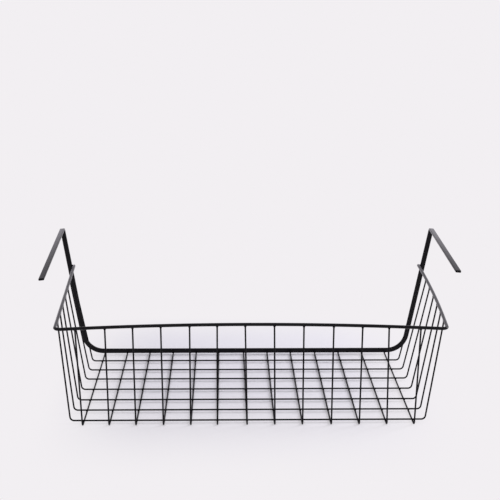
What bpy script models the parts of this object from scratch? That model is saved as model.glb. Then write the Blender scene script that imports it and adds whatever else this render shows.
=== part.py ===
"""Under shelf basket: a tray of welded wire that hangs from a shelf board on two flat arms.

The basket stands on a table. X runs to the right, Y from the front wall to the open rear and
Z up, with the origin under the middle of the whole basket. Lengths are in metres.

depth wires    lie lowest, from under the rear crossbar to the front, and turn up as its wall
cross wires    lie across the depth wires and turn up at both ends as the side walls
rim wire       one thick wire round the front and both sides, over the tops of the walls
hanger frame   one flat strip: a crossbar under the rear edge, two legs and two arms

Every meeting of two pieces is a weld, and the solids stay WELD_GAP apart there.
"""

import math

import bmesh
import bpy
from mathutils import Matrix, Vector

# Mesh of thin wires
MESH_PITCH = 0.030
MESH_WIRE_DIAMETER = 0.0018
FRONT_MARGIN = 0.00975  # from the foot of the front wall to the first cross wire
SIDE_MARGIN = 0.013  # from the outermost depth wires to the feet of the side walls
FRONT_BEND_RADIUS = 0.005
SIDE_BEND_RADIUS = 0.0045
CROSS_WIRE_STRAY = 0.0007  # how far the cross wires' feet lie to the left of the floor's middle
LEFT_FOOT_DRAFT = 0.0024  # how much nearer the middle the last cross wire's left foot lies

# Places of the wires in mesh pitches, which the welding leaves a little uneven.
# The depth wires are counted from the middle, the cross wires from the front one.
DEPTH_FOOT_SHARES = (-5.98, -5.03, -4.07, -3.08, -2.10, -1.14, -0.07, 0.93, 1.93, 2.97, 3.98, 4.98, 5.97)
DEPTH_TOP_SHARES = (-6.03, -5.02, -4.07, -3.10, -2.10, -1.14, -0.16, 0.86, 1.89, 2.93, 3.93, 4.84, 5.93)
CROSS_ROW_SHARES = (0.0, 0.93, 1.89, 2.92, 3.98, 4.97, 6.0)

# Rim of thick wire
RIM_WIRE_DIAMETER = 0.0035
RIM_HEIGHT = 0.118
LEFT_RIM_SPREAD = 0.0086  # from the foot of a side wall out to the rim's front corner
RIGHT_RIM_SPREAD = 0.0119
RIM_REACH = 0.0212  # from the foot of the front wall forwards to the rim's front corners
RIM_FRONT_BOW = 0.0147  # how far the middle of the front is pulled in behind its corners
LEFT_RIM_BOW = -0.0001  # how far the middle of a side stands out of its straight line
RIGHT_RIM_BOW = 0.0023
RIM_CORNER_RADIUS = 0.006

# Hanger of flat strip, whose heights and lengths run to its centre line
STRIP_WIDTH = 0.006
STRIP_THICKNESS = 0.0025
STRIP_EDGE_RADIUS = 0.0009
STRIP_END_CHAMFER = 0.0003
LEG_SPREAD = 0.0093  # from the foot of a side wall out to the foot of the leg
LEFT_LEG_LEAN = math.radians(8.76)
RIGHT_LEG_LEAN = math.radians(10.28)
CROSSBAR_CORNER_RADIUS = 0.025
HANGER_HEIGHT = 0.1654
ARM_BEND_RADIUS = 0.0026
ARM_LENGTH = 0.204
LEFT_ARM_TOE_IN = math.radians(2.2)
RIGHT_ARM_TOE_IN = math.radians(2.85)
LEFT_ARM_RISE = math.radians(-1.3)
RIGHT_ARM_RISE = math.radians(1.0)
LEFT_ARM_ROLL = math.radians(6.0)
RIGHT_ARM_ROLL = math.radians(4.0)

WELD_GAP = 0.0003  # between the surfaces of two welded pieces

# Fineness of the solids
BEND_STEP = math.radians(14)
MESH_WIRE_STEPS = 2
RIM_WIRE_STEPS = 4
EDGE_STEPS = 3
FRONT_RUNS = 14
SIDE_RUNS = 8

# Sizes that follow from the ones above
MESH_RADIUS = MESH_WIRE_DIAMETER / 2
RIM_RADIUS = RIM_WIRE_DIAMETER / 2
FLOOR_HALF = MESH_PITCH * (len(DEPTH_FOOT_SHARES) - 1) / 2 + SIDE_MARGIN
CROSSBAR_Y = FRONT_MARGIN + MESH_PITCH * len(CROSS_ROW_SHARES)
REAR_FACE_Y = CROSSBAR_Y + STRIP_THICKNESS / 2
DEPTH_WIRE_LEVEL = MESH_RADIUS
CROSS_WIRE_LEVEL = DEPTH_WIRE_LEVEL + 2 * MESH_RADIUS + WELD_GAP
CROSSBAR_LEVEL = MESH_WIRE_DIAMETER + WELD_GAP + STRIP_WIDTH / 2
LEG_FOOT_HALF = FLOOR_HALF + LEG_SPREAD

LEFT, RIGHT = -1, 1
RIM_CORNER_OUT = {LEFT: FLOOR_HALF + LEFT_RIM_SPREAD, RIGHT: FLOOR_HALF + RIGHT_RIM_SPREAD}
RIM_BOW = {LEFT: LEFT_RIM_BOW, RIGHT: RIGHT_RIM_BOW}
LEG_LEAN = {LEFT: LEFT_LEG_LEAN, RIGHT: RIGHT_LEG_LEAN}
ARM_TOE_IN = {LEFT: LEFT_ARM_TOE_IN, RIGHT: RIGHT_ARM_TOE_IN}
ARM_RISE = {LEFT: LEFT_ARM_RISE, RIGHT: RIGHT_ARM_RISE}
ARM_ROLL = {LEFT: LEFT_ARM_ROLL, RIGHT: RIGHT_ARM_ROLL}
UP = Vector((0, 0, 1))


def clear_scene():
    """Removes what a new file holds."""
    for obj in list(bpy.data.objects):
        bpy.data.objects.remove(obj)


def powder_coat(name, colour, roughness):
    """Black polyester powder coat on steel: a Principled surface that is not metallic."""
    material = bpy.data.materials.new(name)
    material.use_nodes = True
    surface = material.node_tree.nodes["Principled BSDF"]
    surface.inputs["Base Color"].default_value = (*colour, 1)
    surface.inputs["Roughness"].default_value = roughness
    surface.inputs["Metallic"].default_value = 0
    material.diffuse_color = (*colour, 1)
    return material


def place_in_scene(obj, basket):
    """Links an object and hangs it on the empty that stands for the whole basket."""
    bpy.context.scene.collection.objects.link(obj)
    obj.parent = basket


def bend(before, corner, after, radius):
    """Places round a corner, on an arc tangent to both runs, each with the direction along it."""
    arriving = (corner - before).normalized()
    leaving = (after - corner).normalized()
    turn = arriving.angle(leaving)
    axis = arriving.cross(leaving).normalized()
    start = corner - arriving * radius * math.tan(turn / 2)
    centre = start + axis.cross(arriving) * radius
    steps = math.ceil(turn / BEND_STEP)
    places = []
    for step in range(steps + 1):
        turned = Matrix.Rotation(turn * step / steps, 3, axis)
        places.append((centre + turned @ (start - centre), turned @ arriving))
    return places


def rounded_path(corners, radii):
    """Centre line through the corners, where a corner with a radius in radii becomes an arc."""
    path = [corners[0]]
    for index in range(1, len(corners) - 1):
        if index in radii:
            arc = bend(corners[index - 1], corners[index], corners[index + 1], radii[index])
            path += [place for place, along in arc]
        else:
            path.append(corners[index])
    return path + [corners[-1]]


def round_wire(name, path, radius, steps, coat, basket):
    """One wire of round section along a path, closed at both cut ends."""
    curve = bpy.data.curves.new(name, "CURVE")
    curve.dimensions = "3D"
    curve.bevel_depth = radius
    curve.bevel_resolution = steps
    curve.use_fill_caps = True
    curve.materials.append(coat)
    spline = curve.splines.new("POLY")
    spline.points.add(len(path) - 1)
    for point, place in zip(spline.points, path):
        point.co = (*place, 1)
    spline.use_smooth = True
    place_in_scene(bpy.data.objects.new(name, curve), basket)


def leg_out(side, height):
    """Distance from the floor's middle out to a leg's centre line at a height."""
    return LEG_FOOT_HALF + (height - CROSSBAR_LEVEL) * math.tan(LEG_LEAN[side])


def rim_rear_out(side):
    """Distance out to the rim at a leg, where it lies along the leg's inner edge."""
    seat = (STRIP_WIDTH / 2 + WELD_GAP + RIM_RADIUS) / math.cos(LEG_LEAN[side])
    return leg_out(side, RIM_HEIGHT) - seat


def rim_side_place(side, y):
    """Place on the rim's side at a depth: on a straight run to the leg that is bowed a little."""
    share = (y + RIM_REACH) / (CROSSBAR_Y + RIM_REACH)
    straight = RIM_CORNER_OUT[side] + (rim_rear_out(side) - RIM_CORNER_OUT[side]) * share
    return Vector((side * (straight + RIM_BOW[side] * 4 * share * (1 - share)), y, RIM_HEIGHT))


def rim_front_place(x):
    """Place on the rim's front bar: a shallow arch between its corners, pulled in at the middle."""
    middle = (RIM_CORNER_OUT[RIGHT] - RIM_CORNER_OUT[LEFT]) / 2
    half = (RIM_CORNER_OUT[RIGHT] + RIM_CORNER_OUT[LEFT]) / 2
    bow = RIM_FRONT_BOW * (1 - ((x - middle) / half) ** 2)
    return Vector((x, bow - RIM_REACH, RIM_HEIGHT))


def rim_side(side):
    """Centre line of one side of the rim, from its rear end to its front corner."""
    length = REAR_FACE_Y + RIM_REACH
    depths = [REAR_FACE_Y - length * run / SIDE_RUNS for run in range(SIDE_RUNS + 1)]
    return [rim_side_place(side, y) for y in depths]


def rim_path():
    """Centre line of the rim, from its right rear end round the front to the left one."""
    right_side = rim_side(RIGHT)
    left_side = rim_side(LEFT)
    right_x = right_side[-1].x
    width = right_x - left_side[-1].x
    front = [rim_front_place(right_x - width * run / FRONT_RUNS) for run in range(1, FRONT_RUNS)]
    first_corner = len(right_side) - 1
    radii = {first_corner: RIM_CORNER_RADIUS, first_corner + FRONT_RUNS: RIM_CORNER_RADIUS}
    return rounded_path(right_side + front + left_side[::-1], radii)


def wall_wire_top(foot, rim_centre):
    """Upper end of a wall wire that points from its foot at the rim's centre, welded under it."""
    return rim_centre + (foot - rim_centre).normalized() * (RIM_RADIUS + WELD_GAP)


def depth_wire_path(foot_share, top_share):
    """From under the crossbar along the floor, then up the front wall to the rim."""
    rear = Vector((foot_share * MESH_PITCH, REAR_FACE_Y, DEPTH_WIRE_LEVEL))
    foot = Vector((foot_share * MESH_PITCH, 0, DEPTH_WIRE_LEVEL))
    top = wall_wire_top(foot, rim_front_place(top_share * MESH_PITCH))
    return rounded_path([rear, foot, top], {1: FRONT_BEND_RADIUS})


def cross_wire_path(row_share):
    """From the left rim down the side wall, across the floor and up to the right rim."""
    y = FRONT_MARGIN + row_share * MESH_PITCH
    draft = LEFT_FOOT_DRAFT * row_share / CROSS_ROW_SHARES[-1]
    left_foot = Vector((draft - FLOOR_HALF - CROSS_WIRE_STRAY, y, CROSS_WIRE_LEVEL))
    right_foot = Vector((FLOOR_HALF - CROSS_WIRE_STRAY, y, CROSS_WIRE_LEVEL))
    left_top = wall_wire_top(left_foot, rim_side_place(LEFT, y))
    right_top = wall_wire_top(right_foot, rim_side_place(RIGHT, y))
    radii = {1: SIDE_BEND_RADIUS, 2: SIDE_BEND_RADIUS}
    return rounded_path([left_top, left_foot, right_foot, right_top], radii)


def strip_outline(inset):
    """Points round the strip's section with its rolled edges, as (across, through) pairs."""
    radius = STRIP_EDGE_RADIUS - inset
    centre_across = STRIP_WIDTH / 2 - STRIP_EDGE_RADIUS
    centre_through = STRIP_THICKNESS / 2 - STRIP_EDGE_RADIUS
    outline = []
    for quarter, (side, face) in enumerate(((1, 1), (-1, 1), (-1, -1), (1, -1))):
        for step in range(EDGE_STEPS + 1):
            angle = math.pi / 2 * (quarter + step / EDGE_STEPS)
            across = side * centre_across + radius * math.cos(angle)
            through = face * centre_through + radius * math.sin(angle)
            outline.append((across, through))
    return outline


def strip_section(place, across, through, inset=0):
    """The strip's outline set at a place, with its width along across."""
    return [place + across * wide + through * thick for wide, thick in strip_outline(inset)]


def arm_direction(side):
    """Unit vector along an arm from its bend to its tip: forwards, toed in and off level."""
    toe_in = ARM_TOE_IN[side]
    level = Vector((-side * math.sin(toe_in), -math.cos(toe_in), 0))
    return level * math.cos(ARM_RISE[side]) + UP * math.sin(ARM_RISE[side])


def arm_across(side):
    """Width direction of an arm, level before its roll lowers the outer edge."""
    along = arm_direction(side)
    level = side * UP.cross(along).normalized()
    return Matrix.Rotation(-side * ARM_ROLL[side], 3, along) @ level


def half_strip_sections(side):
    """Sections of one half of the strip, from the crossbar up the leg and out to the arm's tip.

    The crossbar's corner is bent edgewise, so the width stays in the plane of the frame. The
    arm is bent flatwise, and the strip twists level within that bend.
    """
    middle = Vector((0, CROSSBAR_Y, CROSSBAR_LEVEL))
    foot = Vector((side * LEG_FOOT_HALF, CROSSBAR_Y, CROSSBAR_LEVEL))
    shoulder = Vector((side * leg_out(side, HANGER_HEIGHT), CROSSBAR_Y, HANGER_HEIGHT))
    arm = arm_direction(side)
    sections = []
    for place, along in bend(middle, foot, shoulder, CROSSBAR_CORNER_RADIUS):
        across = Vector((side * along.z, 0, -side * along.x))
        sections.append(strip_section(place, across, side * along.cross(across)))
    arm_bend = bend(foot, shoulder, shoulder + arm, ARM_BEND_RADIUS)
    for step, (place, along) in enumerate(arm_bend):
        twisted = across.lerp(arm_across(side), step / (len(arm_bend) - 1))
        width = (twisted - along * twisted.dot(along)).normalized()
        sections.append(strip_section(place, width, side * along.cross(width)))
    for back, inset in ((STRIP_END_CHAMFER, 0), (0, STRIP_END_CHAMFER)):
        place = shoulder + arm * (ARM_LENGTH - back)
        sections.append(strip_section(place, width, side * arm.cross(width), inset))
    return sections


def hanger_frame(coat, basket):
    """The whole strip, lofted through its sections from the left arm's tip to the right one's."""
    sections = half_strip_sections(LEFT)[::-1] + half_strip_sections(RIGHT)
    shape = bmesh.new()
    rings = [[shape.verts.new(point) for point in section] for section in sections]
    for ring, following in zip(rings, rings[1:]):
        for index in range(len(ring)):
            shape.faces.new((ring[index - 1], ring[index], following[index], following[index - 1]))
    shape.faces.new(rings[0])
    shape.faces.new(rings[-1])
    bmesh.ops.recalc_face_normals(shape, faces=shape.faces)
    mesh = bpy.data.meshes.new("hanger_frame")
    shape.to_mesh(mesh)
    shape.free()
    mesh.shade_smooth()
    mesh.set_sharp_from_angle(angle=math.radians(50))
    mesh.materials.append(coat)
    place_in_scene(bpy.data.objects.new("hanger_frame", mesh), basket)


def rim_wire(coat, basket):
    """The thick wire round the front and both sides."""
    round_wire("rim_wire", rim_path(), RIM_RADIUS, RIM_WIRE_STEPS, coat, basket)


def mesh_wires(coat, basket):
    """The thin wires: seven across and thirteen from rear to front."""
    for number, row_share in enumerate(CROSS_ROW_SHARES, 1):
        path = cross_wire_path(row_share)
        round_wire(f"cross_wire_{number}", path, MESH_RADIUS, MESH_WIRE_STEPS, coat, basket)
    for number, shares in enumerate(zip(DEPTH_FOOT_SHARES, DEPTH_TOP_SHARES), 1):
        path = depth_wire_path(*shares)
        round_wire(f"depth_wire_{number:02d}", path, MESH_RADIUS, MESH_WIRE_STEPS, coat, basket)


def hanger_reach(side):
    """How far the hanger reaches out from the floor's middle to one side."""
    return max(abs(point.x) for section in half_strip_sections(side) for point in section)


def basket_empty():
    """The empty that carries every piece, set so that the origin is under the basket's middle."""
    basket = bpy.data.objects.new("basket", None)
    bpy.context.scene.collection.objects.link(basket)
    middle_x = (hanger_reach(RIGHT) - hanger_reach(LEFT)) / 2
    front_face_y = min(place.y for place in rim_path()) - RIM_RADIUS
    basket.location = (-middle_x, -(front_face_y + REAR_FACE_Y) / 2, 0)
    return basket


def main():
    clear_scene()
    basket = basket_empty()
    hanger_frame(powder_coat("strip_coat", (0.012, 0.011, 0.013), 0.38), basket)
    rim_wire(powder_coat("rim_coat", (0.012, 0.011, 0.013), 0.38), basket)
    mesh_wires(powder_coat("mesh_coat", (0.014, 0.013, 0.016), 0.42), basket)


main()
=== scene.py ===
"""Looks of the under shelf basket: coated wires, the strip hanger, their welds and the studio.

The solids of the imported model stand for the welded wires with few-sided sections. Here each
wire and the strip are drawn again along the same centre lines, with round sections, finished
ends and the welds that hold them together, and all get a satin black powder coat.
Lengths are in metres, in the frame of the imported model.
"""

import logging
import math
from dataclasses import dataclass, field
from enum import Enum

import bpy
from mathutils import Matrix, Quaternion, Vector


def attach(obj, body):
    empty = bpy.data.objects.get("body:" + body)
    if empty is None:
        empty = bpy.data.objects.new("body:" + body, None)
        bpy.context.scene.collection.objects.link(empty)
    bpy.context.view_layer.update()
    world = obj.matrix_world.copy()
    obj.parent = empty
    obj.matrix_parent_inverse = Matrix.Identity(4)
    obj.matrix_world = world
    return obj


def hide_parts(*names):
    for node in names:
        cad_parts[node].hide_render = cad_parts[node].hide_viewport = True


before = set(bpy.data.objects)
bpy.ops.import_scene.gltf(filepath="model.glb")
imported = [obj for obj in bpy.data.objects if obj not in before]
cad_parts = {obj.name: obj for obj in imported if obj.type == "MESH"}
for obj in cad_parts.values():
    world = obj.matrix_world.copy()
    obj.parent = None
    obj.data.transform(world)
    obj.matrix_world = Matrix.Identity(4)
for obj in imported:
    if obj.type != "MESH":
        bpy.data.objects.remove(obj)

LOG = logging.getLogger("basket")
BODY = "root"
UP = Vector((0, 0, 1))
MM_PER_M = 1000.0


class Side(Enum):
    """Left and right, as seen from the front wall."""

    LEFT = -1
    RIGHT = 1


def linear(hex_colour: str) -> tuple[float, float, float, float]:
    """Turns an sRGB hex colour into Blender's linear one.

    Args:
        hex_colour: the colour as six hex digits.

    Returns:
        Linear red, green and blue, and an alpha of one.
    """
    levels = [int(hex_colour[start:start + 2], 16) / 255 for start in (0, 2, 4)]
    red, green, blue = [
        level / 12.92 if level <= 0.04045 else ((level + 0.055) / 1.055) ** 2.4
        for level in levels
    ]
    return red, green, blue, 1.0


def add_node(
        tree: bpy.types.NodeTree, kind: str, settings: dict[str | int, object],
        links: dict[str | int, bpy.types.NodeSocket]) -> bpy.types.Node:
    """Adds a node with its settings and the links into it.

    Args:
        tree: the node tree that takes the node.
        kind: Blender's name of the node type.
        settings: values by property name, or by input name or number.
        links: output sockets by the input name or number that each one feeds.

    Returns:
        The new node.
    """
    node = tree.nodes.new(kind)
    for key, value in settings.items():
        if isinstance(key, str) and hasattr(node, key):
            setattr(node, key, value)
        else:
            node.inputs[key].default_value = value
    for key, socket in links.items():
        tree.links.new(socket, node.inputs[key])
    return node


def deselect_all() -> None:
    bpy.ops.object.select_all(action="DESELECT")


def select_only(pieces: list[bpy.types.Object]) -> None:
    """Selects the pieces alone and makes the first one active.

    Args:
        pieces: the objects to select.
    """
    deselect_all()
    for piece in pieces:
        piece.select_set(True)
    bpy.context.view_layer.objects.active = pieces[0]


@dataclass(frozen=True)
class BasketSizes:
    """Sizes that several sub-assemblies share, the same as the solids have."""

    origin: Vector = field(default_factory=lambda: Vector((-0.00217537, -0.09943137, 0)))
    mesh_pitch: float = 0.030
    wire_radius: float = 0.0009
    rim_radius: float = 0.00175
    weld_gap: float = 0.0003
    front_margin: float = 0.00975
    floor_half: float = 0.193
    cross_stray: float = 0.0007
    left_draft: float = 0.0024
    rim_height: float = 0.118
    strip_width: float = 0.006
    strip_thickness: float = 0.0025
    depth_feet: tuple[float, ...] = (
        -5.98, -5.03, -4.07, -3.08, -2.10, -1.14, -0.07, 0.93, 1.93, 2.97, 3.98, 4.98, 5.97)
    depth_tops: tuple[float, ...] = (
        -6.03, -5.02, -4.07, -3.10, -2.10, -1.14, -0.16, 0.86, 1.89, 2.93, 3.93, 4.84, 5.93)
    cross_rows: tuple[float, ...] = (0.0, 0.93, 1.89, 2.92, 3.98, 4.97, 6.0)

    @property
    def crossbar_y(self) -> float:
        """Depth of the crossbar's centre line, one pitch behind the last cross wire."""
        return self.front_margin + self.mesh_pitch * len(self.cross_rows)

    @property
    def rear_face_y(self) -> float:
        """Depth of the crossbar's rear face."""
        return self.crossbar_y + self.strip_thickness / 2

    @property
    def depth_level(self) -> float:
        """Height of the depth wires' centre lines over the floor."""
        return self.wire_radius

    @property
    def cross_level(self) -> float:
        """Height of the cross wires' centre lines over the floor."""
        return 3 * self.wire_radius + self.weld_gap

    @property
    def crossbar_level(self) -> float:
        """Height of the crossbar's centre line over the floor."""
        return 2 * self.wire_radius + self.weld_gap + self.strip_width / 2

    def row_y(self, row: float) -> float:
        """Depth of a row of the mesh, counted in pitches from the first cross wire."""
        return self.front_margin + row * self.mesh_pitch

    def foot_x(self, side: Side, number: int) -> float:
        """Finds where a cross wire turns up, counted from the floor's middle.

        Args:
            side: the side wall.
            number: the wire's number, counted from the front.

        Returns:
            How far the foot is to the right of the middle.
        """
        draft = self.left_draft * self.cross_rows[number] / self.cross_rows[-1]
        nearer = draft if side is Side.LEFT else 0.0
        return side.value * self.floor_half - self.cross_stray + nearer

    def place(self, x: float, y: float, z: float) -> Vector:
        """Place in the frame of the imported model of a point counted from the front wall's foot."""
        return self.origin + Vector((x, y, z))


@dataclass(frozen=True)
class PowderCoat:
    """Satin black polyester powder coat, baked on steel.

    It gives the eye a near black that turns grey where the light grazes it, and a faint
    orange peel that breaks the lines of light on the bars.
    """

    name: str
    roughness: float
    rougher: float
    specular: float
    bloom: float
    # Orange peel is about a millimetre wide and is drawn at its real size.
    peel_mm: float
    peel_height_mm: float
    peel_detail: float = 2.0
    colour: str = "09070B"
    worn_colour: str = "100E13"
    ior: float = 1.45
    bloom_roughness: float = 0.3
    bloom_tint: str = "E2DCEE"
    # The film gets a little thicker and thinner in clouds of about 11 mm.
    clouds_per_metre: float = 90.0
    cloud_detail: float = 3.0
    tone_range: tuple[float, float] = (0.35, 0.70)
    gloss_range: tuple[float, float] = (0.3, 0.7)

    def material(self) -> bpy.types.Material:
        """Builds the node material of this coat.

        Returns:
            The material, which reads Object coordinates only.
        """
        material = bpy.data.materials.new(self.name)
        material.use_nodes = True
        tree = material.node_tree
        surface = tree.nodes["Principled BSDF"]
        surface.inputs["Metallic"].default_value = 0.0
        surface.inputs["IOR"].default_value = self.ior
        surface.inputs["Specular IOR Level"].default_value = self.specular
        surface.inputs["Sheen Weight"].default_value = self.bloom
        surface.inputs["Sheen Roughness"].default_value = self.bloom_roughness
        surface.inputs["Sheen Tint"].default_value = linear(self.bloom_tint)
        place = add_node(tree, "ShaderNodeTexCoord", {}, {}).outputs["Object"]
        cloud = add_node(
            tree, "ShaderNodeTexNoise",
            {"Scale": self.clouds_per_metre, "Detail": self.cloud_detail}, {"Vector": place})
        tone = add_node(tree, "ShaderNodeValToRGB", {}, {"Fac": cloud.outputs["Fac"]})
        stops = zip(self.tone_range, (self.colour, self.worn_colour))
        for number, (position, colour) in enumerate(stops):
            tone.color_ramp.elements[number].position = position
            tone.color_ramp.elements[number].color = linear(colour)
        tree.links.new(tone.outputs["Color"], surface.inputs["Base Color"])
        low, high = self.gloss_range
        gloss = add_node(
            tree, "ShaderNodeMapRange",
            {"From Min": low, "From Max": high, "To Min": self.roughness, "To Max": self.rougher},
            {"Value": cloud.outputs["Fac"]})
        tree.links.new(gloss.outputs["Result"], surface.inputs["Roughness"])
        peel = add_node(
            tree, "ShaderNodeTexNoise",
            {"Scale": MM_PER_M / self.peel_mm, "Detail": self.peel_detail}, {"Vector": place})
        bump = add_node(
            tree, "ShaderNodeBump",
            {"Strength": 1.0, "Distance": self.peel_height_mm / MM_PER_M},
            {"Height": peel.outputs["Fac"]})
        tree.links.new(bump.outputs["Normal"], surface.inputs["Normal"])
        return material


class DrawnPiece:
    """A wire or strip drawn from one section: straight runs and bends, one after another."""

    STRIP_CORNERS = 4
    EDGE_STEPS = 5
    CUT_STEPS = 3
    SMOOTH_ANGLE = math.radians(40)

    def __init__(self, name: str, place: Vector) -> None:
        """Notes the name and the place where the drawing starts.

        Args:
            name: the piece's name.
            place: where the centre line starts.
        """
        self.name = name
        self.place = place.copy()
        self.sides = 0

    def start_round(self, radius: float, along: Vector, sides: int) -> None:
        """Starts with a circle across the way the wire goes.

        Args:
            radius: the wire's radius.
            along: the direction of the first run.
            sides: how many sides the section has.
        """
        deselect_all()
        turn = along.to_track_quat("Z", "Y").to_euler()
        bpy.ops.mesh.primitive_circle_add(
            vertices=sides, radius=radius, location=self.place, rotation=turn)
        self._open_for_shaping()
        self.sides = sides

    def start_flat(self, width: float, thickness: float, rounding: float, turn: Matrix) -> None:
        """Starts with the strip's flat section, its edges rolled round.

        Args:
            width: the strip's width, along the first column of turn.
            thickness: the strip's thickness.
            rounding: the radius of the rolled edges.
            turn: the frame of the section, whose third column is the way the strip goes.
        """
        deselect_all()
        bpy.ops.mesh.primitive_plane_add(size=1, location=self.place, rotation=turn.to_euler())
        bpy.context.object.scale = (width, thickness, 1)
        self._open_for_shaping()
        bpy.ops.mesh.bevel(offset=rounding, segments=self.EDGE_STEPS, affect="VERTICES")
        bpy.ops.mesh.select_all(action="SELECT")
        bpy.ops.mesh.delete(type="ONLY_FACE")
        bpy.ops.mesh.select_all(action="SELECT")
        self.sides = self.STRIP_CORNERS * (self.EDGE_STEPS + 1)

    def _open_for_shaping(self) -> None:
        """Applies the new primitive's place and opens it with all of it selected."""
        bpy.context.object.name = self.name
        bpy.ops.object.transform_apply(location=True, rotation=True, scale=True)
        bpy.ops.object.mode_set(mode="EDIT")
        bpy.ops.mesh.select_mode(type="EDGE")
        bpy.ops.mesh.select_all(action="SELECT")

    def run(self, to: Vector) -> None:
        """Draws the section straight on to a place."""
        bpy.ops.mesh.extrude_region_move(TRANSFORM_OT_translate={"value": to - self.place})
        self.place = to.copy()

    def bend(self, to: Vector, turn: Quaternion, steps: int) -> None:
        """Draws the section round an arc.

        Args:
            to: the place where the arc ends.
            turn: how far and about which axis the section turns on the way.
            steps: how many steps the arc is made in.
        """
        axis, angle = turn.to_axis_angle()
        chord = to - self.place
        chord -= axis * chord.dot(axis)
        centre = self.place + chord / 2 + axis.cross(chord) / (2 * math.tan(angle / 2))
        bpy.ops.mesh.spin(steps=steps, angle=angle, center=centre, axis=-axis)
        self.place = self.place + chord

    def finish(self, rounding: float) -> bpy.types.Object:
        """Closes the cut ends, rounds their edges and smooths the piece.

        Args:
            rounding: how round the coat leaves the edges of the cut ends.

        Returns:
            The finished piece, with its place in its mesh.
        """
        bpy.ops.mesh.select_mode(type="FACE")
        bpy.ops.mesh.select_all(action="SELECT")
        bpy.ops.mesh.fill_holes(sides=0)
        bpy.ops.mesh.select_all(action="SELECT")
        bpy.ops.mesh.normals_make_consistent(inside=False)
        bpy.ops.mesh.select_all(action="DESELECT")
        bpy.ops.mesh.select_face_by_sides(number=self.sides, type="EQUAL")
        bpy.ops.mesh.bevel(offset=rounding, segments=self.CUT_STEPS, affect="EDGES")
        bpy.ops.object.mode_set(mode="OBJECT")
        bpy.ops.object.shade_smooth_by_angle(angle=self.SMOOTH_ANGLE)
        return bpy.context.object


def dress(piece: bpy.types.Object, coat: bpy.types.Material, slot: str, *nodes: str) -> None:
    """Gives a piece its coat and the body that carries it, and hides the solids it stands for.

    Args:
        piece: the finished piece.
        coat: its material.
        slot: the record's material slot; it is not used.
        nodes: the CAD nodes that it replaces.
    """
    piece.data.materials.clear()
    piece.data.materials.append(coat)
    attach(piece, BODY)
    if nodes:
        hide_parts(*nodes)
    LOG.info("%s: %d faces", piece.name, len(piece.data.polygons))


def corner_bend(
        before: Vector, corner: Vector, after: Vector,
        radius: float) -> tuple[Vector, Vector, Quaternion]:
    """Works out the arc that rounds a corner.

    Args:
        before: a place on the run that arrives.
        corner: where both runs would meet.
        after: a place on the run that leaves.
        radius: the radius of the arc.

    Returns:
        The arc's first place, its last place and the turn between them.
    """
    arriving = (corner - before).normalized()
    leaving = (after - corner).normalized()
    back = radius * math.tan(arriving.angle(leaving) / 2)
    turn = arriving.rotation_difference(leaving)
    return corner - arriving * back, corner + leaving * back, turn


@dataclass(frozen=True)
class BowedSpan:
    """A long shallow arc of the rim between two corners, seen from above."""

    start: Vector
    end: Vector
    bow: float

    @property
    def half_turn(self) -> float:
        """Half the angle that the span turns through, anticlockwise from above."""
        return 4 * self.bow / (self.end - self.start).length

    @property
    def turn(self) -> Quaternion:
        """The whole turn of the span."""
        return Quaternion(UP, 2 * self.half_turn)

    @property
    def first_way(self) -> Vector:
        """Direction in which the span starts."""
        return Quaternion(UP, -self.half_turn) @ (self.end - self.start).normalized()

    @property
    def last_way(self) -> Vector:
        """Direction in which the span ends."""
        return Quaternion(UP, self.half_turn) @ (self.end - self.start).normalized()


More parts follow.
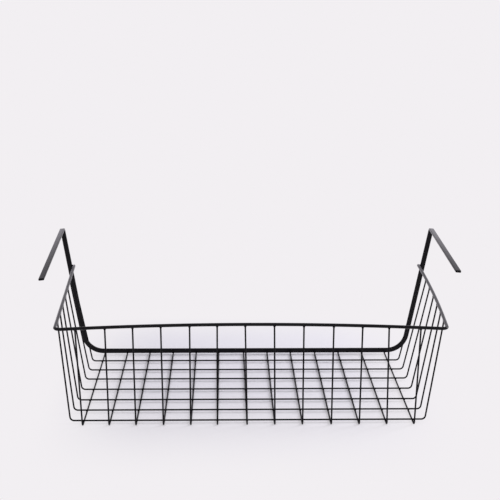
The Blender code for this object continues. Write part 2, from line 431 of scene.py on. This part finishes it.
@dataclass
class RimWire:
    """The thick wire round the front and both sides, from leg to leg."""

    sizes: BasketSizes
    coat: bpy.types.Material
    left_spread: float = 0.0086
    right_spread: float = 0.0119
    reach: float = 0.0212
    front_bow: float = 0.0147
    left_bow: float = -0.0001
    right_bow: float = 0.0023
    corner_radius: float = 0.006
    section_sides: int = 24
    span_steps: int = 24
    corner_steps: int = 12
    end_rounding: float = 0.00035

    def corner_out(self, side: Side) -> float:
        """Distance from the floor's middle out to a front corner."""
        spread = self.left_spread if side is Side.LEFT else self.right_spread
        return self.sizes.floor_half + spread

    def side_place(self, side: Side, y: float, rear_out: float) -> Vector:
        """Finds a place on the rim's side.

        Args:
            side: the side of the rim.
            y: the depth of the place.
            rear_out: the distance out to the rim at the leg.

        Returns:
            The place on the rim's centre line, counted from the front wall's foot.
        """
        bow = self.left_bow if side is Side.LEFT else self.right_bow
        share = (y + self.reach) / (self.sizes.crossbar_y + self.reach)
        out = self.corner_out(side) + (rear_out - self.corner_out(side)) * share
        out += bow * 4 * share * (1 - share)
        return Vector((side.value * out, y, self.sizes.rim_height))

    def front_place(self, x: float) -> Vector:
        """Finds a place on the rim's front bar.

        Args:
            x: how far the place is to the right of the floor's middle.

        Returns:
            The place on the rim's centre line, counted from the front wall's foot.
        """
        middle = (self.corner_out(Side.RIGHT) - self.corner_out(Side.LEFT)) / 2
        half = (self.corner_out(Side.RIGHT) + self.corner_out(Side.LEFT)) / 2
        bow = self.front_bow * (1 - ((x - middle) / half) ** 2)
        return Vector((x, bow - self.reach, self.sizes.rim_height))

    def spans(self, rear_outs: dict[Side, float]) -> list[BowedSpan]:
        """Finds the rim's three long spans, in order from its right rear end.

        Args:
            rear_outs: distance out to the rim at each leg.

        Returns:
            The right side, the front and the left side.
        """
        origin, rear_y = self.sizes.origin, self.sizes.rear_face_y
        rears = [origin + self.side_place(side, rear_y, rear_outs[side]) for side in Side]
        corners = [origin + self.side_place(side, -self.reach, rear_outs[side]) for side in Side]
        return [
            BowedSpan(rears[1], corners[1], -self.right_bow),
            BowedSpan(corners[1], corners[0], self.front_bow),
            BowedSpan(corners[0], rears[0], -self.left_bow),
        ]

    def build(self, rear_outs: dict[Side, float]) -> bpy.types.Object:
        """Draws the rim from its right rear end round the front to its left rear end.

        Args:
            rear_outs: distance out to the rim at each leg.

        Returns:
            The finished rim.
        """
        spans = self.spans(rear_outs)
        wire = DrawnPiece("round_rim_wire", spans[0].start)
        wire.start_round(self.sizes.rim_radius, spans[0].first_way, self.section_sides)
        for span, following in zip(spans, spans[1:]):
            turn = span.last_way.rotation_difference(following.first_way)
            back = self.corner_radius * math.tan(turn.angle / 2)
            wire.bend(span.end - span.last_way * back, span.turn, self.span_steps)
            wire.bend(following.start + following.first_way * back, turn, self.corner_steps)
        wire.bend(spans[-1].end, spans[-1].turn, self.span_steps)
        piece = wire.finish(self.end_rounding)
        dress(piece, self.coat, "rim_coat", "rim_wire")
        return piece


@dataclass
class MeshWires:
    """The thin wires of the floor and the walls, seven across and thirteen from rear to front."""

    sizes: BasketSizes
    coat: bpy.types.Material
    front_bend_radius: float = 0.005
    side_bend_radius: float = 0.0045
    section_sides: int = 14
    bend_steps: int = 8
    end_rounding: float = 0.0002

    def wall_top(self, foot: Vector, rim_centre: Vector) -> Vector:
        """Upper end of a wall wire, which points at the rim's centre and is welded under it."""
        reach = self.sizes.rim_radius + self.sizes.weld_gap
        return rim_centre + (foot - rim_centre).normalized() * reach

    def depth_corners(self, number: int, rim: RimWire) -> list[Vector]:
        """Finds the corners of a depth wire's centre line.

        Args:
            number: the wire's number, counted from the left.
            rim: the rim that the wire reaches.

        Returns:
            Its rear end, its bend at the front wall's foot and its upper end.
        """
        foot_x = self.sizes.depth_feet[number] * self.sizes.mesh_pitch
        top_x = self.sizes.depth_tops[number] * self.sizes.mesh_pitch
        foot = Vector((foot_x, 0, self.sizes.depth_level))
        rear = Vector((foot_x, self.sizes.rear_face_y, self.sizes.depth_level))
        return [rear, foot, self.wall_top(foot, rim.front_place(top_x))]

    def cross_corners(
            self, number: int, rim: RimWire, rear_outs: dict[Side, float]) -> list[Vector]:
        """Finds the corners of a cross wire's centre line.

        Args:
            number: the wire's number, counted from the front.
            rim: the rim that the wire reaches.
            rear_outs: distance out to the rim at each leg.

        Returns:
            Its left end, both bends at the side walls' feet and its right end.
        """
        y = self.sizes.row_y(self.sizes.cross_rows[number])
        feet = [Vector((self.sizes.foot_x(side, number), y, self.sizes.cross_level))
                for side in Side]
        tops = [self.wall_top(foot, rim.side_place(side, y, rear_outs[side]))
                for side, foot in zip(Side, feet)]
        return [tops[0], feet[0], feet[1], tops[1]]

    def draw(self, name: str, corners: list[Vector], radius: float) -> bpy.types.Object:
        """Draws one wire through its corners, rounded at a radius.

        Args:
            name: the piece's name.
            corners: the corners of its centre line.
            radius: the radius of its bends.

        Returns:
            The finished wire.
        """
        places = [self.sizes.origin + corner for corner in corners]
        wire = DrawnPiece(name, places[0])
        wire.start_round(self.sizes.wire_radius, places[1] - places[0], self.section_sides)
        for before, corner, after in zip(places, places[1:], places[2:]):
            first, last, turn = corner_bend(before, corner, after, radius)
            wire.run(first)
            wire.bend(last, turn, self.bend_steps)
        wire.run(places[-1])
        return wire.finish(self.end_rounding)

    def build(self, rim: RimWire, rear_outs: dict[Side, float]) -> None:
        """Draws all the thin wires.

        Args:
            rim: the rim that the wires reach.
            rear_outs: distance out to the rim at each leg.
        """
        for number in range(len(self.sizes.cross_rows)):
            corners = self.cross_corners(number, rim, rear_outs)
            piece = self.draw(f"round_cross_wire_{number + 1}", corners, self.side_bend_radius)
            dress(piece, self.coat, "mesh_coat", f"cross_wire_{number + 1}")
        for number in range(len(self.sizes.depth_feet)):
            corners = self.depth_corners(number, rim)
            piece = self.draw(f"round_depth_wire_{number + 1:02d}", corners, self.front_bend_radius)
            dress(piece, self.coat, "mesh_coat", f"depth_wire_{number + 1:02d}")


@dataclass
class HangerFrame:
    """The flat strip: a crossbar on the depth wires' rear ends, two legs and two arms."""

    sizes: BasketSizes
    coat: bpy.types.Material
    edge_rounding: float = 0.0009
    end_rounding: float = 0.0003
    leg_spread: float = 0.0093
    corner_radius: float = 0.025
    arm_bend_radius: float = 0.0026
    height: float = 0.1654
    arm_length: float = 0.204
    bend_steps: int = 16
    leg_leans: dict[Side, float] = field(default_factory=lambda: {
        Side.LEFT: math.radians(8.76), Side.RIGHT: math.radians(10.28)})
    toe_ins: dict[Side, float] = field(default_factory=lambda: {
        Side.LEFT: math.radians(2.2), Side.RIGHT: math.radians(2.85)})
    rises: dict[Side, float] = field(default_factory=lambda: {
        Side.LEFT: math.radians(-1.3), Side.RIGHT: math.radians(1.0)})
    rolls: dict[Side, float] = field(default_factory=lambda: {
        Side.LEFT: math.radians(6.0), Side.RIGHT: math.radians(4.0)})

    def leg_out(self, side: Side, height: float) -> float:
        """Distance from the floor's middle out to a leg's centre line at a height."""
        foot = self.sizes.floor_half + self.leg_spread
        return foot + (height - self.sizes.crossbar_level) * math.tan(self.leg_leans[side])

    def rim_out(self, side: Side) -> float:
        """Distance out to the rim's centre line where it lies against a leg."""
        seat = self.sizes.strip_width / 2 + self.sizes.weld_gap + self.sizes.rim_radius
        return self.leg_out(side, self.sizes.rim_height) - seat / math.cos(self.leg_leans[side])

    def arm_along(self, side: Side) -> Vector:
        """Finds the direction of an arm from its bend to its tip.

        Args:
            side: the half of the strip.

        Returns:
            The direction: forwards, toed in and a little off level.
        """
        toe_in, rise = self.toe_ins[side], self.rises[side]
        level = Vector((-side.value * math.sin(toe_in), -math.cos(toe_in), 0))
        return level * math.cos(rise) + UP * math.sin(rise)

    def frames(self, side: Side) -> dict[str, Matrix]:
        """Works out how the section stands in the crossbar, the leg and the arm.

        Args:
            side: the half of the strip.

        Returns:
            A frame for each, with the strip's width in the first column, pointing outwards or
            down, and its way from the crossbar to the arm's tip in the third.
        """
        lean = self.leg_leans[side]
        outwards = Vector((side.value, 0, 0))
        leg = Vector((side.value * math.sin(lean), 0, math.cos(lean)))
        leg_across = Vector((side.value * math.cos(lean), 0, -math.sin(lean)))
        arm = self.arm_along(side)
        level = side.value * UP.cross(arm).normalized()
        arm_across = Matrix.Rotation(-side.value * self.rolls[side], 3, arm) @ level
        return {
            "crossbar": self.frame(-UP, outwards),
            "leg": self.frame(leg_across, leg),
            "arm": self.frame(arm_across, arm),
        }

    def frame(self, across: Vector, along: Vector) -> Matrix:
        """Matrix whose columns are the strip's width, its thickness and its way."""
        return Matrix((across, along.cross(across), along)).transposed()

    def half(self, side: Side) -> list[tuple[Vector, Matrix]]:
        """Finds the stations of one half, between which the strip runs or bends in turn.

        Args:
            side: the half of the strip.

        Returns:
            Places and frames at the ends of the corner, of the arm's bend and at the tip.
        """
        frames = self.frames(side)
        y, level = self.sizes.crossbar_y, self.sizes.crossbar_level
        middle = self.sizes.place(0, y, level)
        foot = self.sizes.place(side.value * self.leg_out(side, level), y, level)
        shoulder = self.sizes.place(side.value * self.leg_out(side, self.height), y, self.height)
        tip = shoulder + self.arm_along(side) * self.arm_length
        in_corner, out_corner, _ = corner_bend(middle, foot, shoulder, self.corner_radius)
        in_bend, out_bend, _ = corner_bend(foot, shoulder, tip, self.arm_bend_radius)
        return [
            (in_corner, frames["crossbar"]),
            (out_corner, frames["leg"]),
            (in_bend, frames["leg"]),
            (out_bend, frames["arm"]),
            (tip, frames["arm"]),
        ]

    def build(self) -> None:
        """Draws the strip from the left arm's tip through the crossbar to the right arm's tip."""
        about = Matrix.Rotation(math.pi, 3, "X")
        left = [(place, turn @ about) for place, turn in reversed(self.half(Side.LEFT))]
        stations = left + self.half(Side.RIGHT)
        strip = DrawnPiece("coated_hanger_frame", stations[0][0])
        strip.start_flat(
            self.sizes.strip_width, self.sizes.strip_thickness, self.edge_rounding, stations[0][1])
        frame_before = stations[0][1]
        for number, (place, turn) in enumerate(stations[1:]):
            if number % 2 == 0:
                strip.run(place)
            else:
                turned = (turn @ frame_before.transposed()).to_quaternion()
                strip.bend(place, turned, self.bend_steps)
            frame_before = turn
        piece = strip.finish(self.end_rounding)
        dress(piece, self.coat, "strip_coat", "hanger_frame")


@dataclass
class Welds:
    """The resistance welds: small squeezed-out beads that the coat has smoothed over."""

    sizes: BasketSizes
    coat: bpy.types.Material
    nugget_radius: float = 0.00095
    nugget_bulge: float = 1.30
    collar_radius: float = 0.00105
    seat_radius: float = 0.00125
    floor_length: float = 0.0016
    crossbar_length: float = 0.0012
    rim_length: float = 0.0018
    leg_length: float = 0.0022
    rounding_share: float = 0.3
    sides: int = 10

    def bead(self, name: str, length: float, radius: float, bulge: float) -> bpy.types.Object:
        """Models one bead, upright at the origin: a short plug that swells at its middle.

        Args:
            name: the piece's name.
            length: its length.
            radius: its radius at both ends.
            bulge: how much wider its middle is than its ends.

        Returns:
            The bead.
        """
        deselect_all()
        bpy.ops.mesh.primitive_cylinder_add(
            vertices=self.sides, radius=radius, depth=length, location=(0, 0, 0))
        bpy.context.object.name = name
        bpy.ops.object.mode_set(mode="EDIT")
        bpy.ops.mesh.select_all(action="SELECT")
        bpy.ops.mesh.bisect(plane_co=(0, 0, 0), plane_no=(0, 0, 1))
        bpy.ops.transform.resize(value=(bulge, bulge, 1))
        bpy.ops.mesh.select_all(action="DESELECT")
        bpy.ops.mesh.select_face_by_sides(number=self.sides, type="EQUAL")
        bpy.ops.mesh.bevel(offset=radius * self.rounding_share, segments=1, affect="EDGES")
        bpy.ops.object.mode_set(mode="OBJECT")
        bpy.ops.object.shade_smooth()
        return bpy.context.object

    def spread(self, seed: bpy.types.Object, turns: list[Matrix], slot: str) -> None:
        """Copies a bead to its places, joins the copies into one piece and dresses it.

        Args:
            seed: the bead at the origin.
            turns: the place and turn of each copy.
            slot: the record's material slot.
        """
        copies = []
        for turn in turns:
            copy = seed.copy()
            copy.data = seed.data.copy()
            copy.data.transform(turn)
            bpy.context.scene.collection.objects.link(copy)
            copies.append(copy)
        name = seed.name
        bpy.data.objects.remove(seed)
        select_only(copies)
        bpy.ops.object.join()
        bpy.context.object.name = name
        dress(bpy.context.object, self.coat, slot)

    def upright(self, place: Vector, along: Vector) -> Matrix:
        """Place and turn of a bead that stands along a direction."""
        return Matrix.Translation(place) @ along.to_track_quat("Z", "Y").to_matrix().to_4x4()

    def build(self, mesh: MeshWires, rim: RimWire, rear_outs: dict[Side, float]) -> None:
        """Models the beads of every kind and sets them at their joints.

        Args:
            mesh: the thin wires.
            rim: the rim.
            rear_outs: distance out to the rim at each leg.
        """
        sizes = self.sizes
        between = (sizes.depth_level + sizes.cross_level) / 2
        crossings = [
            Matrix.Translation(sizes.place(foot * sizes.mesh_pitch, sizes.row_y(row), between))
            for row in sizes.cross_rows for foot in sizes.depth_feet]
        seed = self.bead(
            "floor_welds", self.floor_length, self.nugget_radius, self.nugget_bulge)
        self.spread(seed, crossings, "mesh_coat")
        under_bar = sizes.wire_radius * 2 + sizes.weld_gap / 2
        bar = [Matrix.Translation(sizes.place(foot * sizes.mesh_pitch, sizes.crossbar_y, under_bar))
               for foot in sizes.depth_feet]
        seed = self.bead(
            "crossbar_welds", self.crossbar_length, self.nugget_radius, self.nugget_bulge)
        self.spread(seed, bar, "mesh_coat")
        tops = []
        for number in range(len(sizes.depth_feet)):
            _, foot, top = mesh.depth_corners(number, rim)
            tops.append(self.upright(sizes.origin + top, top - foot))
        for number in range(len(sizes.cross_rows)):
            left, left_foot, right_foot, right = mesh.cross_corners(number, rim, rear_outs)
            tops.append(self.upright(sizes.origin + left, left - left_foot))
            tops.append(self.upright(sizes.origin + right, right - right_foot))
        seed = self.bead("rim_welds", self.rim_length, self.collar_radius, self.nugget_bulge)
        self.spread(seed, tops, "mesh_coat")
        seats = []
        for side in Side:
            out = rear_outs[side] + sizes.rim_radius + sizes.weld_gap / 2
            place = sizes.place(side.value * out, sizes.crossbar_y, sizes.rim_height)
            seats.append(self.upright(place, Vector((side.value, 0, 0))))
        seed = self.bead("leg_welds", self.leg_length, self.seat_radius, self.nugget_bulge)
        self.spread(seed, seats, "rim_coat")


@dataclass
class Studio:
    """Pale table and backdrop, the room's light, one low lamp and the photograph's camera."""

    sizes: BasketSizes
    pale: str = "F2EFF2"
    # Painted shade: the darker lilac grey colour of the table round the basket.
    painted_shade_colour: str = "E6E3ED"
    table_half: float = 40.0
    table_roughness: float = 0.9
    table_specular: float = 0.2
    # Where the painted shade on the table starts and where it is full, from the front wall's foot.
    painted_shade_front: tuple[float, float] = (-0.135, 0.11)
    painted_shade_rear: tuple[float, float] = (0.38, 0.25)
    painted_shade_side: tuple[float, float] = (0.240, 0.100)
    lamp_power: float = 27.0
    lamp_size: float = 0.9
    lamp_place: Vector = field(default_factory=lambda: Vector((1.75, 0.40, 0.80)))
    world_strength: float = 0.72
    camera_place: Vector = field(
        default_factory=lambda: Vector((-0.0258354, -1.0443240, 0.4756671)))
    camera_right: Vector = field(default_factory=lambda: Vector(
        (0.9997173991757292, -0.023107426397207437, 0.005582887300777914)))
    camera_down: Vector = field(default_factory=lambda: Vector(
        (-0.0005631365545128234, -0.25780236630086667, -0.9661975071417307)))
    focal_px: float = 1047.0708
    picture_px: float = 500.0
    sensor_mm: float = 36.0
    clip_near: float = 0.01
    clip_far: float = 200.0

    def set_view(self) -> None:
        """Standard colours, so that a surface renders about as its colour is written."""
        bpy.context.scene.view_settings.view_transform = "Standard"

    def camera(self) -> None:
        """Sets the camera where the photograph was taken from."""
        data = bpy.data.cameras.new("camera")
        data.sensor_width = self.sensor_mm
        data.lens = self.sensor_mm * self.focal_px / self.picture_px
        data.clip_start = self.clip_near
        data.clip_end = self.clip_far
        camera = bpy.data.objects.new("camera", data)
        right, up = self.camera_right, -self.camera_down
        turn = Matrix((right, up, right.cross(up))).transposed().to_4x4()
        camera.matrix_world = Matrix.Translation(self.sizes.origin + self.camera_place) @ turn
        bpy.context.scene.collection.objects.link(camera)
        bpy.context.scene.camera = camera

    def world(self) -> None:
        """A plain pale room: the backdrop's colour to the eye, a softer light on the object."""
        world = bpy.data.worlds.new("room")
        bpy.context.scene.world = world
        world.use_nodes = True
        tree = world.node_tree
        tree.nodes.clear()
        path = add_node(tree, "ShaderNodeLightPath", {}, {})
        seen = add_node(
            tree, "ShaderNodeMath", {"operation": "MAXIMUM"},
            {0: path.outputs["Is Camera Ray"], 1: path.outputs["Is Glossy Ray"]})
        seen = add_node(
            tree, "ShaderNodeMath", {"operation": "MAXIMUM"},
            {0: seen.outputs[0], 1: path.outputs["Is Transmission Ray"]})
        lit = add_node(
            tree, "ShaderNodeBackground",
            {"Color": linear("FFFFFF"), "Strength": self.world_strength}, {})
        backdrop = add_node(
            tree, "ShaderNodeBackground", {"Color": linear(self.pale), "Strength": 1.0}, {})
        mixed = add_node(
            tree, "ShaderNodeMixShader", {},
            {0: seen.outputs[0], 1: lit.outputs[0], 2: backdrop.outputs[0]})
        add_node(tree, "ShaderNodeOutputWorld", {}, {"Surface": mixed.outputs[0]})

    def lamp(self) -> None:
        """One soft lamp to the right and a little behind, which makes the wires' soft shadows."""
        data = bpy.data.lights.new("soft_lamp", "AREA")
        data.shape = "DISK"
        data.size = self.lamp_size
        data.energy = self.lamp_power
        lamp = bpy.data.objects.new("soft_lamp", data)
        lamp.location = self.lamp_place
        aim = self.sizes.origin - lamp.location
        lamp.rotation_euler = aim.to_track_quat("-Z", "Y").to_euler()
        bpy.context.scene.collection.objects.link(lamp)

    def painted_shade_mask(self, tree: bpy.types.NodeTree) -> bpy.types.NodeSocket:
        """Draws the soft-edged field round the basket where the table is lit and painted darker as
        painted shade.

        Args:
            tree: the table's node tree.

        Returns:
            The socket that is one under the basket and fades to nothing outside the field.
        """
        place = add_node(tree, "ShaderNodeTexCoord", {}, {}).outputs["Object"]
        local = add_node(
            tree, "ShaderNodeVectorMath",
            {"operation": "SUBTRACT", 1: self.sizes.origin}, {0: place}).outputs["Vector"]
        axes = add_node(tree, "ShaderNodeSeparateXYZ", {}, {"Vector": local}).outputs
        out = add_node(tree, "ShaderNodeMath", {"operation": "ABSOLUTE"}, {0: axes["X"]})
        mask = None
        fades = (
            (out.outputs[0], self.painted_shade_side),
            (axes["Y"], self.painted_shade_front),
            (axes["Y"], self.painted_shade_rear),
        )
        for socket, (outside, inside) in fades:
            fade = add_node(
                tree, "ShaderNodeMapRange",
                {"interpolation_type": "SMOOTHSTEP", "From Min": outside, "From Max": inside},
                {"Value": socket}).outputs["Result"]
            if mask is None:
                mask = fade
            else:
                mask = add_node(
                    tree, "ShaderNodeMath", {"operation": "MULTIPLY"},
                    {0: mask, 1: fade}).outputs[0]
        return mask

    def floor(self) -> None:
        """A pale table that runs out into the backdrop, and keeps the basket's shadow.

        Its matt paint gives a plain ground and no glare; near the basket it has painted shade.
        """
        deselect_all()
        bpy.ops.mesh.primitive_plane_add(size=2 * self.table_half, location=(0, 0, 0))
        floor = bpy.context.object
        floor.name = "table_top"
        material = bpy.data.materials.new("matt_table_with_painted_shade")
        material.use_nodes = True
        tree = material.node_tree
        surface = tree.nodes["Principled BSDF"]
        # Painted shade: the lit table round the basket takes the darker colour.
        surface.inputs["Base Color"].default_value = linear(self.painted_shade_colour)
        surface.inputs["Roughness"].default_value = self.table_roughness
        surface.inputs["Specular IOR Level"].default_value = self.table_specular
        backdrop = add_node(
            tree, "ShaderNodeEmission", {"Color": linear(self.pale), "Strength": 1.0}, {})
        mixed = add_node(
            tree, "ShaderNodeMixShader", {},
            {0: self.painted_shade_mask(tree), 1: backdrop.outputs[0], 2: surface.outputs[0]})
        tree.links.new(mixed.outputs[0], tree.nodes["Material Output"].inputs["Surface"])
        floor.data.materials.append(material)

    def build(self) -> None:
        """Sets up colours, camera, light, room and table."""
        self.set_view()
        self.camera()
        self.world()
        self.lamp()
        self.floor()
        LOG.info("studio and camera set")


# Flat strip: wide soft lights, and grey where light grazes the arms.
STRIP_COAT = PowderCoat(
    name="satin_black_powder_coat_on_strip", roughness=0.22, rougher=0.30,
    specular=0.14, bloom=0.42, peel_mm=1.4, peel_height_mm=0.006)
# Thick wire: the same satin, as one narrow light along the top of the wire.
RIM_COAT = PowderCoat(
    name="satin_black_powder_coat_on_rim_wire", roughness=0.22, rougher=0.30,
    specular=0.14, bloom=0.42, peel_mm=1.2, peel_height_mm=0.005)
# Thin wire: nearly plain black, as its light is too narrow to see.
MESH_COAT = PowderCoat(
    name="satin_black_powder_coat_on_thin_wire", roughness=0.34, rougher=0.44,
    specular=0.08, bloom=0.06, peel_mm=1.0, peel_height_mm=0.004)


def main() -> None:
    """Builds the sub-assemblies in order."""
    logging.basicConfig(level=logging.INFO, format="%(name)s: %(message)s")
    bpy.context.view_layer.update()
    sizes = BasketSizes()
    Studio(sizes).build()
    hanger = HangerFrame(sizes, STRIP_COAT.material())
    hanger.build()
    rear_outs = {side: hanger.rim_out(side) for side in Side}
    rim = RimWire(sizes, RIM_COAT.material())
    rim.build(rear_outs)
    mesh_coat = MESH_COAT.material()
    mesh = MeshWires(sizes, mesh_coat)
    mesh.build(rim, rear_outs)
    Welds(sizes, mesh_coat).build(mesh, rim, rear_outs)


if __name__ == "__main__":
    main()
